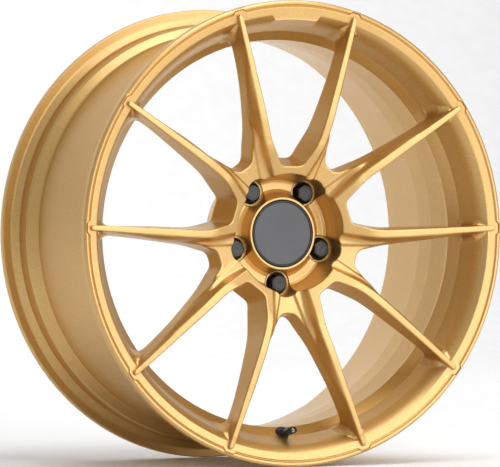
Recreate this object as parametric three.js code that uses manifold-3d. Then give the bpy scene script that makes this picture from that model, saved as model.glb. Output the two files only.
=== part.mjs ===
// A 19 x 8.5J forged racing wheel: ten spokes in five V-shaped pairs, five lug bolts with loose
// tapered collars, a clip-in centre cap, a hub-centring ring and a clamp-in tyre valve.
// Millimetres, +Z up. The wheel axis is Y and the outer face looks along -Y. The origin is on the
// axis, midway between the two rim flanges.
import * as THREE from "three";
import { mergeVertices } from "three/addons/utils/BufferGeometryUtils.js";
import Module from "manifold-3d";

const wasm = await Module();
wasm.setup();

// ---------------------------------------------------------------- driving dimensions
const RIM_RADIUS = 258.8; // over the flanges
const LIP_SPAN = 231.7; // between the outer corners of the two flanges
const LIP = -LIP_SPAN / 2; // y of the front flange's corner; depths below are measured from it
const BEAD_SEAT_RADIUS = 241.3;
const FLANGE_THICKNESS = 7.9;
const PAD_DEPTH = 80.9; // hub mounting pad, 35 mm outboard of the rim's middle plane
const PAD_RADIUS = 72;
const BORE_RADIUS = 36.3; // hub bore in the pad, which takes the centring ring
const SPIGOT_RADIUS = 33.3; // the centring ring's own bore
const BOLT_CIRCLE_RADIUS = 56;
const V_COUNT = 5;
const STEP = 360 / V_COUNT; // angle between V pairs
const BOLT_OFFSET = STEP / 2; // bolts sit between the V pairs
const SEAT_DEPTH = 60; // wide end of the bolts' tapered seats
const SEAT_LENGTH = 7;
const SEAT_WIDE = 11.9;
const SEAT_NARROW = 7.9;
const POCKET_RADIUS = 12.25;
const POCKET_MOUTH_RADIUS = 15.5;
const CAP_DEPTH = 35; // the cap's face
const CAP_RADIUS = 37.2;
const WEB_DEPTH = 24; // flat webs between the V pairs
const COVE_FLOOR = 49.3; // floor of the ring-shaped hollow round the cap
const GAP = 0.3; // between solids that touch
const ROUND = 60; // facets round the rim
const HUB_ROUND = 36; // facets round the hub's turned faces
const CAP_ROUND = 30;
const BOLT_ROUND = 18;
const VALVE_ROUND = 16;

// ---------------------------------------------------------------- materials
const paint = (name, color, roughness, metalness) =>
  new THREE.MeshStandardMaterial({ name, color, roughness, metalness });
const goldPaint = () => paint("gold_paint", 0xc89646, 0.38, 0.75);
const blackSteel = () => paint("black_steel", 0x25272a, 0.5, 0.6);
const blackPlastic = () => paint("black_plastic", 0x16171a, 0.3, 0);
const greyDisc = () => paint("grey_disc", 0x6a6d72, 0.35, 0.6);
const brightSteel = () => paint("bright_steel", 0xb9bcc0, 0.3, 1);
const rubber = () => paint("rubber", 0x1b1b1c, 0.9, 0);
const brass = () => paint("brass", 0xb08d4a, 0.35, 0.9);

// ---------------------------------------------------------------- solids
function solid(geometry) {
  const bare = geometry.index ? geometry.toNonIndexed() : geometry.clone();
  bare.deleteAttribute("normal");
  bare.deleteAttribute("uv");
  const merged = mergeVertices(bare, 1e-4);
  return new wasm.Manifold(
    new wasm.Mesh({
      numProp: 3,
      vertProperties: merged.attributes.position.array,
      triVerts: new Uint32Array(merged.index.array),
    }),
  );
}

function geometryOf(manifold) {
  const mesh = manifold.getMesh();
  const geometry = new THREE.BufferGeometry();
  const position = new THREE.BufferAttribute(new Float32Array(mesh.vertProperties), 3);
  geometry.setAttribute("position", position);
  geometry.setIndex(new THREE.BufferAttribute(new Uint32Array(mesh.triVerts), 1));
  const flat = geometry.toNonIndexed();
  flat.computeVertexNormals();
  return flat;
}

// A turned solid about Y from [radius, y] points that run round the section.
function turned(points, segments) {
  const profile = points.map(([r, y]) => new THREE.Vector2(r, y));
  const closed = points[0][0] < 1e-6 ? profile : [...profile, profile[0].clone()];
  const made = solid(new THREE.LatheGeometry(closed, segments));
  if (made.volume() > 0) return made;
  return solid(new THREE.LatheGeometry(closed.reverse(), segments));
}

// A turned solid whose axis is moved to x, z.
const turnedAt = (x, z, points, segments) => turned(points, segments).translate([x, 0, z]);

// A solid through parallel loops of points, each loop convex.
function loft(loops) {
  const count = loops[0].length;
  const vertices = loops.flat();
  const middle = (loop) =>
    loop.reduce((sum, p) => sum.add(p), new THREE.Vector3()).divideScalar(count);
  vertices.push(middle(loops[0]), middle(loops[loops.length - 1]));
  const faces = [];
  for (let i = 0; i < loops.length - 1; i++)
    for (let j = 0; j < count; j++) {
      const k = (j + 1) % count;
      const a = i * count;
      const b = a + count;
      faces.push(a + j, a + k, b + k, a + j, b + k, b + j);
    }
  const last = (loops.length - 1) * count;
  for (let j = 0; j < count; j++) {
    const k = (j + 1) % count;
    faces.push(vertices.length - 2, k, j);
    faces.push(vertices.length - 1, last + j, last + k);
  }
  const geometry = new THREE.BufferGeometry().setFromPoints(vertices);
  geometry.setIndex(faces);
  const made = solid(geometry);
  if (made.volume() > 0) return made;
  geometry.setIndex(faces.toReversed());
  return solid(geometry);
}

const joined = (solids) => solids.reduce((sum, next) => sum.add(next));
const without = (body, cutters) => cutters.reduce((left, cutter) => left.subtract(cutter), body);
const turnedRound = (body, degrees) => body.rotate([0, degrees, 0]);

// Puts a solid made upright at angle zero (straight up) at an angle counted from +X towards +Z.
const placedAt = (body, degrees) => turnedRound(body, 90 - degrees);

// ---------------------------------------------------------------- rim
// [radius, depth] points; the outside runs from the front flange to the rear one.
const rimOutside = [
  [255, -2.4],
  [RIM_RADIUS, 0],
  [RIM_RADIUS, FLANGE_THICKNESS],
  [247, FLANGE_THICKNESS],
  [BEAD_SEAT_RADIUS, 13],
  [240.1, 28],
  [240.8, 31],
  [238.6, 35],
  [223, 50],
  [221, 60],
  [221, 86],
  [229.6, 191],
  [239.4, 198],
  [240.8, 201],
  [239.8, 204],
  [BEAD_SEAT_RADIUS, 218.7],
  [247, LIP_SPAN - FLANGE_THICKNESS],
  [RIM_RADIUS, LIP_SPAN - FLANGE_THICKNESS],
  [RIM_RADIUS, LIP_SPAN],
  [255, LIP_SPAN + 2.4],
];
// The inside runs back from the rear flange to the front one.
const rimInside = [
  [243, LIP_SPAN + 1.4],
  [236.6, LIP_SPAN - 6],
  [233.6, 199],
  [226, 190],
  [216.5, 86],
  [218.5, 52],
  [216.6, 45],
  [226.5, 33.5],
  [231, 22],
  [235.9, 8],
  [242.8, 0],
  [249.8, -1.8],
  [251.4, -0.6],
  [252.8, -2.2],
];
const VALVE_FOOT = { radius: 223.5, depth: 38 }; // middle of the valve hole's outer mouth
const VALVE_TILT = 10; // the stem leans in towards the axis
const VALVE_HOLE_RADIUS = 5.7;
const SPOKE_END = 223; // where the separate spoke solids stop short of the rim

// ---------------------------------------------------------------- spokes
// One spoke of a V pair that points straight up, on the +X side. Each station is a section across
// the spoke: the middle of its front strip, half the strip's width, how far the inner and outer
// flanks spread at the crease and at the back, and the depths of strip, crease and back.
const ELBOW = new THREE.Vector2(36, 108);
const TIP = new THREE.Vector2(71.5, 240);
const alongSpoke = TIP.clone().sub(ELBOW).normalize();
const acrossSpoke = new THREE.Vector2(alongSpoke.y, -alongSpoke.x);

const stations = [
  { s: -6, strip: 4.6, inner: 8.6, crease: 11.2, outer: 13, front: 1.5, fold: 20, back: 42 },
  { s: 13, strip: 4.5, inner: 8, crease: 11, outer: 13, front: -1.6, fold: 14, back: 36 },
  { s: 34, strip: 4.2, inner: 7, crease: 10, outer: 11.8, front: -3, fold: 9, back: 29 },
  { s: 61, strip: 3.9, inner: 6.2, crease: 8.4, outer: 10, front: -3.6, fold: 5, back: 24 },
  { s: 88, strip: 3.5, inner: 5, crease: 6.6, outer: 8.8, front: -4, fold: 3, back: 22.5 },
  { s: 106, strip: 3.2, inner: 4.4, crease: 5.4, outer: 7.4, front: -4.4, fold: 2, back: 24 },
];

function stationLoop({ strip, inner, crease, outer, front, fold, back }, middle, across) {
  const chamfer = 1.2;
  const at = (t, depth) => {
    const p = middle.clone().addScaledVector(across, t);
    return new THREE.Vector3(p.x, LIP + depth, p.y);
  };
  return [
    at(-strip, front + chamfer),
    at(-strip + chamfer, front),
    at(strip - chamfer, front),
    at(strip, front + chamfer),
    at(crease, fold),
    at(outer, back - 3),
    at(outer - 3, back),
    at(-inner + 3, back),
    at(-inner, back - 3),
  ];
}

const onSpoke = (s) => ELBOW.clone().addScaledVector(alongSpoke, s);
const spokeLoop = (station) => stationLoop(station, onSpoke(station.s), acrossSpoke);
// The last station before the rim leaves room for the tip that belongs to the rim.
const radiusToS = (radius) => {
  const b = ELBOW.dot(alongSpoke);
  return -b + Math.sqrt(b * b - ELBOW.lengthSq() + radius * radius);
};
const rimEnd = {
  s: radiusToS(SPOKE_END),
  strip: 3.1,
  inner: 5.6,
  crease: 5.6,
  outer: 8.6,
  front: -4.6,
  fold: 1.6,
  back: 28,
};
const spokeSolid = loft([...stations.map(spokeLoop), spokeLoop(rimEnd)]);

// The short end of each spoke that is part of the rim: a flared foot and the strip's rounded tip.
const foot = { ...rimEnd, s: rimEnd.s + GAP };
const footEnd = radiusToS(237.5);
const footWide = { ...rimEnd, s: footEnd, strip: 3, inner: 9, crease: 6.5, outer: 12, back: 33 };
const tipShape = { strip: 3, inner: 3, crease: 3, outer: 3.2, front: -4.6, fold: 0.6, back: 4.4 };
const tipEnd = radiusToS(247.6);
const rimTip = joined([
  loft([spokeLoop(foot), spokeLoop(footWide)]),
  loft([
    spokeLoop({ ...tipShape, s: foot.s + 0.5 }),
    spokeLoop({ ...tipShape, s: tipEnd - 2 }),
    spokeLoop({ ...tipShape, s: tipEnd, strip: 1.8, inner: 1.8, crease: 1.8, outer: 1.9 }),
  ]),
]);

const mirrored = (body) => body.mirror([1, 0, 0]);
const vAngles = Array.from({ length: V_COUNT }, (_, i) => 90 - STEP * i);

function makeRim() {
  const section = [...rimOutside, ...rimInside].map(([r, depth]) => [r, LIP + depth]);
  const ring = turned(section, ROUND);
  const tips = vAngles.flatMap((angle) => [
    placedAt(rimTip, angle),
    placedAt(mirrored(rimTip), angle),
  ]);
  return without(joined([ring, ...tips]), [valveHole()]);
}

// ---------------------------------------------------------------- hub
// The star-shaped plate that joins the V pairs, as corners of its right half between a V's middle
// line and the next bolt's line; the rest follows by mirroring.
const halfLobe = [
  [0, 80],
  [11, 80],
  [16, 84],
  [26.5, 103.9],
  [45.6, 98.8],
  [46.5, 87],
];
const rotated = ([x, z], degrees) => {
  const a = THREE.MathUtils.degToRad(degrees);
  return [x * Math.cos(a) + z * Math.sin(a), z * Math.cos(a) - x * Math.sin(a)];
};
function starOutline() {
  const corners = [];
  for (let i = 0; i < V_COUNT; i++) {
    const left = halfLobe.slice(1).map(([x, z]) => [-x, z]);
    const lobe = [...left.reverse(), ...halfLobe.slice(1)];
    corners.push(...lobe.map((corner) => rotated(corner, STEP * i)));
  }
  return new THREE.Shape(corners.map(([x, z]) => new THREE.Vector2(x, z)));
}

// A prism with an outline in X and Z between two depths.
function prism(shape, from, to) {
  const geometry = new THREE.ExtrudeGeometry(shape, { depth: to - from, bevelEnabled: false });
  geometry.rotateX(Math.PI / 2);
  geometry.translate(0, LIP + to, 0);
  return solid(geometry);
}

// Half of a V's raised strip: from the elbow down and round the inner end of the window.
function ridgeHalf() {
  const strip = (x, z, degrees, half, front, back) => {
    const a = THREE.MathUtils.degToRad(degrees);
    const across = new THREE.Vector2(Math.cos(a), -Math.sin(a));
    const at = (t, depth) => new THREE.Vector3(x + across.x * t, LIP + depth, z + across.y * t);
    return [
      at(-half, front + 1.2),
      at(-half + 1.2, front),
      at(half - 1.2, front),
      at(half, front + 1.2),
      at(half + 3.5, back),
      at(-half, back),
    ];
  };
  const elbow = onSpoke(-6 - GAP);
  return loft([
    strip(elbow.x, elbow.y, 17, 4.6, 1.5, 30),
    strip(27.6, 89, 27, 4.6, 6.6, 34),
    strip(20.4, 76.6, 38, 4.5, 11, 36),
    strip(14.5, 71.4, 70, 4.3, 13.2, 36),
    strip(-0.5, 70, 90, 4.3, 14, 36),
  ]);
}

function makeHub() {
  const plate = prism(starOutline(), WEB_DEPTH, 46);
  const ridge = ridgeHalf();
  const ridges = vAngles.flatMap((angle) => [
    placedAt(ridge, angle),
    placedAt(mirrored(ridge), angle),
  ]);
  const y = (depth) => LIP + depth;
  const core = turned(
    [
      [BORE_RADIUS, y(PAD_DEPTH)],
      [PAD_RADIUS, y(PAD_DEPTH)],
      [74, y(PAD_DEPTH - 2)],
      [80, y(50)],
      [80, y(44)],
      [66, y(26)],
      [BORE_RADIUS, y(26)],
    ],
    HUB_ROUND,
  );
  const cove = turned(
    [
      [0, y(0)],
      [66, y(0)],
      [65.6, y(25)],
      [62.8, y(40)],
      [60.4, y(47)],
      [57.4, y(COVE_FLOOR)],
      [50, y(COVE_FLOOR)],
      [44, y(COVE_FLOOR + 2)],
      [0, y(COVE_FLOOR + 2)],
    ],
    HUB_ROUND,
  );
  const boss = turned(
    [
      [34, y(COVE_FLOOR + 3)],
      [50, y(COVE_FLOOR + 3)],
      [46.4, y(47.4)],
      [43.6, y(42.4)],
      [41.2, y(36.2)],
      [40.6, y(CAP_DEPTH)],
      [37.9, y(CAP_DEPTH)],
      [37.9, y(40.5)],
      [34, y(40.5)],
    ],
    HUB_ROUND,
  );
  const bore = turned(
    [
      [0, y(40)],
      [34, y(40)],
      [34, y(44)],
      [35.6, y(46)],
      [35.6, y(50)],
      [34, y(52)],
      [34, y(66)],
      [BORE_RADIUS, y(66)],
      [BORE_RADIUS, y(PAD_DEPTH + 5)],
      [0, y(PAD_DEPTH + 5)],
    ],
    HUB_ROUND,
  );
  const pockets = boltPlaces.map(({ x, z }) =>
    turnedAt(
      x,
      z,
      [
        [0, y(10)],
        [POCKET_MOUTH_RADIUS, y(10)],
        [POCKET_MOUTH_RADIUS, y(COVE_FLOOR + 1)],
        [POCKET_RADIUS, y(COVE_FLOOR + 2)],
        [POCKET_RADIUS, y(SEAT_DEPTH - 0.5)],
        [SEAT_NARROW + 0.35, y(SEAT_DEPTH + SEAT_LENGTH)],
        [SEAT_NARROW + 0.35, y(PAD_DEPTH + 5)],
        [0, y(PAD_DEPTH + 5)],
      ],
      BOLT_ROUND,
    ),
  );
  const body = without(joined([plate, core, ...ridges]), [cove]).add(boss);
  return without(body, [bore, ...pockets]);
}

// ---------------------------------------------------------------- bolts
const boltAngles = vAngles.map((angle) => angle - BOLT_OFFSET);
const boltPlaces = boltAngles.map((angle) => {
  const a = THREE.MathUtils.degToRad(angle);
  return { x: BOLT_CIRCLE_RADIUS * Math.cos(a), z: BOLT_CIRCLE_RADIUS * Math.sin(a) };
});
const HEX_ACROSS = 17;
const HEAD_TOP = 43;
const FLANGE_DEPTH = 57.5;
const SHANK_END = 94;

function makeBolt() {
  const y = (depth) => LIP + depth;
  const corner = HEX_ACROSS / 2 / Math.cos(Math.PI / 6);
  const hex = turned(
    [
      [0, y(HEAD_TOP + 1)],
      [corner, y(HEAD_TOP + 1)],
      [corner, y(FLANGE_DEPTH)],
      [0, y(FLANGE_DEPTH)],
    ],
    6,
  );
  const rest = turned(
    [
      [0, y(HEAD_TOP)],
      [8, y(HEAD_TOP)],
      [8, y(FLANGE_DEPTH - 1.5)],
      [10.8, y(FLANGE_DEPTH - 1.5)],
      [10.8, y(FLANGE_DEPTH + 1.8)],
      [7, y(FLANGE_DEPTH + 1.8)],
      [7, y(SHANK_END - 1.5)],
      [5.6, y(SHANK_END)],
      [0, y(SHANK_END)],
    ],
    BOLT_ROUND,
  );
  return hex.add(rest);
}

// The loose tapered collar that the bolt's head presses into the wheel.
function makeCollar() {
  const y = (depth) => LIP + depth;
  const top = FLANGE_DEPTH + 1.8 + GAP;
  return turned(
    [
      [7.4, y(top)],
      [SEAT_WIDE - 0.3, y(top)],
      [SEAT_WIDE, y(SEAT_DEPTH)],
      [SEAT_NARROW + 0.4, y(SEAT_DEPTH + SEAT_LENGTH - 1)],
      [7.4, y(SEAT_DEPTH + SEAT_LENGTH - 1)],
    ],
    BOLT_ROUND,
  );
}

// ---------------------------------------------------------------- centre cap and hub ring
// The cap's legs are drawn pressed in, so they clear the bore as the cap is pulled.
function makeCapShell() {
  const y = (depth) => LIP + depth;
  const cup = turned(
    [
      [0, y(39.6)],
      [31.5, y(39.6)],
      [31.5, y(47)],
      [33.2, y(47)],
      [33.2, y(39.8)],
      [CAP_RADIUS, y(39.8)],
      [CAP_RADIUS, y(36)],
      [36.4, y(CAP_DEPTH)],
      [34.6, y(CAP_DEPTH)],
      [34.6, y(37.2)],
      [0, y(37.2)],
    ],
    CAP_ROUND,
  );
  const slot = prism(new THREE.Shape(rectangle(-40, 40, -4, 4)), 41.6, 60);
  const slots = [0, 60, 120].map((angle) => turnedRound(slot, angle));
  const legs = without(
    turned(
      [
        [31.5, y(42)],
        [33.2, y(42)],
        [33.2, y(45)],
        [33.6, y(47.5)],
        [33.2, y(50.5)],
        [31.5, y(50.5)],
      ],
      CAP_ROUND,
    ),
    slots,
  );
  return without(cup, slots).add(legs);
}

function rectangle(x0, x1, z0, z1) {
  return [
    [x0, z0],
    [x1, z0],
    [x1, z1],
    [x0, z1],
  ].map(([x, z]) => new THREE.Vector2(x, z));
}

function makeCapDisc() {
  const y = (depth) => LIP + depth;
  const top = 35.4;
  const points = [
    [0, y(36.9)],
    [34.3, y(36.9)],
    [34.3, y(top + 0.4)],
    [33.8, y(top)],
    [0, y(top)],
  ];
  return turned(points, CAP_ROUND);
}

// The spring wire that spreads the cap's legs is a split ring.
function makeCapWire() {
  const wire = 1.3;
  const radius = 30;
  const section = Array.from({ length: 6 }, (_, i) => {
    const a = (i / 6) * 2 * Math.PI;
    return [radius + (wire / 2) * Math.cos(a), LIP + 46 + (wire / 2) * Math.sin(a)];
  });
  const slit = prism(new THREE.Shape(rectangle(-3, 3, -40, 0)), 40, 52);
  return without(turned(section, CAP_ROUND), [slit]);
}

function makeHubRing() {
  const y = (depth) => LIP + depth;
  return turned(
    [
      [SPIGOT_RADIUS, y(67)],
      [BORE_RADIUS - GAP, y(67)],
      [BORE_RADIUS - GAP, y(PAD_DEPTH - 1)],
      [BORE_RADIUS - GAP - 0.6, y(PAD_DEPTH - 0.4)],
      [SPIGOT_RADIUS + 1, y(PAD_DEPTH - 0.4)],
      [SPIGOT_RADIUS, y(PAD_DEPTH - 1.4)],
    ],
    HUB_ROUND,
  );
}

// ---------------------------------------------------------------- valve
// The valve's pieces are turned about Y with the stem pointing along -Y from the hole's mouth at
// the origin, then leant towards the axis and carried to the hole.
function placedInHole(body) {
  const leaning = body.rotate([-VALVE_TILT, 0, 0]);
  return leaning.translate([0, LIP + VALVE_FOOT.depth, -VALVE_FOOT.radius]);
}
const stemUp = (points, segments) => turned(points.map(([r, h]) => [r, -h]), segments);

function valveHole() {
  const through = stemUp(
    [
      [0, -30],
      [VALVE_HOLE_RADIUS, -30],
      [VALVE_HOLE_RADIUS, 2],
      [0, 2],
    ],
    VALVE_ROUND,
  );
  const innerFace = stemUp(
    [
      [0, -24],
      [9.5, -24],
      [9.5, -6.5],
      [0, -6.5],
    ],
    VALVE_ROUND,
  );
  const outerFace = stemUp(
    [
      [0, -1],
      [8.4, -1],
      [8.4, 14],
      [0, 14],
    ],
    VALVE_ROUND,
  );
  return placedInHole(joined([through, innerFace, outerFace]));
}

const makeValveStem = () =>
  stemUp(
    [
      [2.75, -12],
      [7.6, -12],
      [7.6, -9.6],
      [4.9, -9.2],
      [4.9, 8],
      [4.1, 8.6],
      [4.1, 30.5],
      [3.7, 31.5],
      [2.75, 31.5],
    ],
    VALVE_ROUND,
  );
const makeGrommet = () =>
  stemUp(
    [
      [5.2, -9.2],
      [8.6, -9.2],
      [8.6, -6.8],
      [5.4, -6.8],
      [5.4, -1.6],
      [5.2, -1.6],
    ],
    VALVE_ROUND,
  );
const makeWasher = () =>
  stemUp(
    [
      [5.2, -0.7],
      [7.9, -0.7],
      [7.9, 0.7],
      [5.2, 0.7],
    ],
    VALVE_ROUND,
  );
function makeCollarNut() {
  const hex = stemUp(
    [
      [0, 1],
      [6.9, 1],
      [6.9, 6.4],
      [0, 6.4],
    ],
    6,
  );
  const skirt = stemUp(
    [
      [0, 1],
      [7.4, 1],
      [7.4, 2.4],
      [0, 2.4],
    ],
    VALVE_ROUND,
  );
  const thread = stemUp(
    [
      [0, 0],
      [5.2, 0],
      [5.2, 7],
      [0, 7],
    ],
    VALVE_ROUND,
  );
  return without(hex.add(skirt), [thread]);
}
const makeValveCore = () =>
  stemUp(
    [
      [1.15, 12],
      [2.45, 12],
      [2.45, 28.5],
      [1.15, 28.5],
    ],
    VALVE_ROUND,
  );
const makeCorePin = () =>
  stemUp(
    [
      [0, 7.6],
      [0.85, 7.6],
      [0.85, 30.6],
      [0, 30.6],
    ],
    VALVE_ROUND,
  );
const makeCoreSeal = () =>
  stemUp(
    [
      [1.15, 9.4],
      [2.3, 9.4],
      [2.3, 11.7],
      [1.15, 11.7],
    ],
    VALVE_ROUND,
  );

// ---------------------------------------------------------------- assembly
const group = new THREE.Group();
group.name = "forged_racing_wheel";

function addNode(name, manifold, material) {
  const mesh = new THREE.Mesh(geometryOf(manifold), material);
  mesh.name = name;
  group.add(mesh);
}

addNode("rim_barrel", makeRim(), goldPaint());
addNode("hub_centre", makeHub(), goldPaint());
vAngles.forEach((angle, i) => {
  addNode(`spoke_${i + 1}_left`, placedAt(mirrored(spokeSolid), angle), goldPaint());
  addNode(`spoke_${i + 1}_right`, placedAt(spokeSolid, angle), goldPaint());
});
boltPlaces.forEach(({ x, z }, i) => {
  addNode(`lug_bolt_${i + 1}`, makeBolt().translate([x, 0, z]), blackSteel());
  addNode(`bolt_collar_${i + 1}`, makeCollar().translate([x, 0, z]), blackSteel());
});
addNode("centre_cap", makeCapShell(), blackPlastic());
addNode("cap_disc", makeCapDisc(), greyDisc());
addNode("cap_wire", makeCapWire(), brightSteel());
addNode("hub_ring", makeHubRing(), blackPlastic());
addNode("valve_stem", placedInHole(makeValveStem()), blackSteel());
addNode("valve_grommet", placedInHole(makeGrommet()), rubber());
addNode("valve_washer", placedInHole(makeWasher()), blackSteel());
addNode("valve_nut", placedInHole(makeCollarNut()), blackSteel());
addNode("valve_core", placedInHole(makeValveCore()), brass());
addNode("valve_pin", placedInHole(makeCorePin()), brightSteel());
addNode("valve_seal", placedInHole(makeCoreSeal()), rubber());

export default group;
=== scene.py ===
"""A gold forged racing wheel, standing upright in a plain white studio.

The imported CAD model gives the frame. The forging (rim, hub and ten spokes) is replaced by one fine
surface each for the rim and the face; the bolts, cap and valve are replaced by detailed pieces.
Shapes are worked out in millimetres and turned to metres when a mesh is made. The wheel's axis is Y
and its outer face looks along -Y. A depth is measured back from the front flange's corner.
"""

import math

import bmesh
import bpy
import numpy as np
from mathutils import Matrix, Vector


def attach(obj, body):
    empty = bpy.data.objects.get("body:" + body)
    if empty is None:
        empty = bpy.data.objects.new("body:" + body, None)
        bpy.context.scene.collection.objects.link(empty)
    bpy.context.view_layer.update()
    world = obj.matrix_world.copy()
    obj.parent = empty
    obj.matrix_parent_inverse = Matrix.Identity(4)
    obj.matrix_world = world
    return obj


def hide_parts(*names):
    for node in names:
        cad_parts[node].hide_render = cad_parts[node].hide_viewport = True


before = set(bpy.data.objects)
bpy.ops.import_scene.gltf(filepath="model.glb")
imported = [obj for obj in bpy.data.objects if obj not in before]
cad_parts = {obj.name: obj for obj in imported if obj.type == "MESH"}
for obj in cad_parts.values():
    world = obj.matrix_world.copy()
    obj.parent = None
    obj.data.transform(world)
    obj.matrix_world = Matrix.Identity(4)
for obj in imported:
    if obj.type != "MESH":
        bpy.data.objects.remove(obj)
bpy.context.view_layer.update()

MM = 0.001
LIP = -115.85  # y of the front flange's corner
V_COUNT = 5
STEP = math.radians(36)  # from a V pair's middle line to the next bolt's line
COS_STEP, SIN_STEP = math.cos(STEP), math.sin(STEP)
BOLT_CIRCLE = 56.0


# ---------------------------------------------------------------- numbers to shapes
def smooth_max(a, b, size):
    """The larger of two distances, with the edge between them rounded over about that size."""
    blend = np.maximum(size - np.abs(a - b), 0.0)
    return np.maximum(a, b) + blend * blend / (4.0 * size)


def smooth_min(a, b, size):
    return -smooth_max(-a, -b, size)


def smooth_curve(knots, spread):
    """A smooth function through a list of (place, value) knots."""
    places, values = np.array(knots, float).T
    fine = np.linspace(places[0] - 4 * spread, places[-1] + 4 * spread, 1200)
    raw = np.interp(fine, places, values)
    first = (values[1] - values[0]) / (places[1] - places[0])
    last = (values[-1] - values[-2]) / (places[-1] - places[-2])
    raw = np.where(fine < places[0], values[0] + (fine - places[0]) * first, raw)
    raw = np.where(fine > places[-1], values[-1] + (fine - places[-1]) * last, raw)
    pitch = fine[1] - fine[0]
    reach = int(3 * spread / pitch) + 1
    weights = np.exp(-0.5 * (np.arange(-reach, reach + 1) * pitch / spread) ** 2)
    smoothed = np.convolve(raw, weights / weights.sum(), mode="valid")
    middle = fine[reach:-reach]
    return lambda x: np.interp(x, middle, smoothed)


def polygon_distance(u, v, corners):
    """Signed distance in a plane to a closed polygon, negative inside."""
    inside = np.zeros(u.shape, bool)
    nearest = np.full(u.shape, 1e9)
    count = len(corners)
    for i in range(count):
        (u0, v0), (u1, v1) = corners[i], corners[(i + 1) % count]
        du, dv = u1 - u0, v1 - v0
        along = np.clip(((u - u0) * du + (v - v0) * dv) / (du * du + dv * dv), 0, 1)
        nearest = np.minimum(nearest, (u - u0 - along * du) ** 2 + (v - v0 - along * dv) ** 2)
        if v0 != v1:
            crosses = (v0 <= v) != (v1 <= v)
            inside ^= crosses & (u < u0 + (v - v0) * du / dv)
    distance = np.sqrt(nearest)
    return np.where(inside, -distance, distance)


# ---------------------------------------------------------------- the rim's section
# [radius, depth, corner radius] round the rim's metal, from the front corner over the outside.
RIM_OUTSIDE = [
    (255.6, -2.4, 1.6),
    (258.8, -0.6, 2.2),
    (258.8, 7.6, 1.6),
    (248.6, 8.0, 6.0),
    (241.6, 13.6, 2.5),
    (240.1, 27.5, 1.5),
    (240.9, 31.0, 2.0),
    (238.8, 35.5, 3.0),
    (223.2, 50.5, 9.0),
    (221.0, 62.0, 12.0),
    (221.0, 88.0, 30.0),
    (229.4, 190.4, 1.5),
    (230.6, 192.2, 1.5),
    (239.2, 197.6, 3.0),
    (240.8, 201.0, 2.0),
    (239.8, 204.4, 1.5),
    (241.3, 217.8, 2.5),
    (248.4, 223.6, 6.0),
    (258.8, 224.0, 1.6),
    (258.8, 231.9, 2.2),
    (255.4, 234.0, 1.6),
]
RIM_INSIDE = [
    (243.2, 233.2, 2.0),
    (236.8, 225.6, 3.0),
    (233.8, 199.6, 4.0),
    (229.6, 193.4, 1.0),
    (226.4, 190.6, 1.5),
    (219.0, 118.0, 20.0),
    (218.6, 100.0, 1.0),
    (216.6, 97.5, 1.0),
    (216.4, 84.0, 15.0),
    (218.6, 52.0, 4.0),
    (216.4, 45.0, 1.0),
    (226.3, 33.5, 2.5),
    (231.2, 21.0, 6.0),
    (235.9, 8.2, 0.8),
    (242.8, 0.6, 0.8),
]
FRONT_METAL = [(r, d) for r, d, _ in RIM_OUTSIDE[:11]] + [(r, d) for r, d, _ in RIM_INSIDE[-8:]]


def rounded(points, closed=False):
    """The corners of a [u, v, radius] polyline turned to arcs."""
    count = len(points)
    out = []
    for i, (u, v, radius) in enumerate(points):
        here = np.array((u, v), float)
        if radius == 0 or (not closed and i in (0, count - 1)):
            out.append(here)
            continue
        before = np.array(points[i - 1][:2], float) - here
        after = np.array(points[(i + 1) % count][:2], float) - here
        la, lb = np.linalg.norm(before), np.linalg.norm(after)
        before, after = before / la, after / lb
        half = math.acos(max(-1.0, min(1.0, float(before @ after)))) / 2
        reach = min(radius / math.tan(half), 0.45 * la, 0.45 * lb)
        true_radius = reach * math.tan(half)
        middle = here + (before + after) / np.linalg.norm(before + after) * true_radius / math.sin(half)
        start = here + before * reach - middle
        turn = math.pi - 2 * half
        steps = max(1, math.ceil(turn / math.radians(14)))
        sign = 1.0 if before[0] * after[1] - before[1] * after[0] < 0 else -1.0
        for k in range(steps + 1):
            a = sign * turn * k / steps
            c, s = math.cos(a), math.sin(a)
            out.append(middle + np.array((c * start[0] - s * start[1], s * start[0] + c * start[1])))
    return np.array(out)


# ---------------------------------------------------------------- the face as a distance
# Everything here is worked out in one half of one V pair: x across from the V's middle line, z out
# from the axis and d the depth. The rest of the face is its mirror images.
ELBOW = np.array((36.0, 108.0))
TIP = np.array((71.5, 240.0))
ALONG = (TIP - ELBOW) / np.linalg.norm(TIP - ELBOW)
ACROSS = np.array((ALONG[1], -ALONG[0]))

strip_half = smooth_curve([(0, 4.6), (43, 4.1), (95, 3.35), (126, 3.05), (136, 3.0)], 5)
strip_depth = smooth_curve([(0, 0.5), (20, -2.4), (41, -3.1), (61, -3.6), (88, -4.1), (134, -4.5)], 6)
inner_lean = smooth_curve([(0, 0.095), (20, 0.08), (61, 0.085), (82, 0.05), (102, 0.02)], 8)
crease_out = smooth_curve([(-6, 11.2), (0, 10.9), (41, 9.5), (61, 8.0), (82, 5.4), (102, 4.4)], 8)
crease_depth = smooth_curve(
    [(-6, 17.0), (0, 16.5), (20, 13.8), (41, 8.0), (61, 3.4), (82, -0.6), (102, -1.8)], 8)
outer_lean = smooth_curve([(-6, 0.13), (20, 0.125), (41, 0.085), (61, 0.085), (82, 0.14), (102, 0.12)], 8)
back_depth = smooth_curve(
    [(78, 52), (83, 47.5), (90, 45.5), (100, 44), (112, 41), (121, 37), (134, 32.8), (155, 27.6)]
    + [(175, 24), (196, 22.6), (214, 23.2), (228, 27), (236, 31)], 4)

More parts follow.
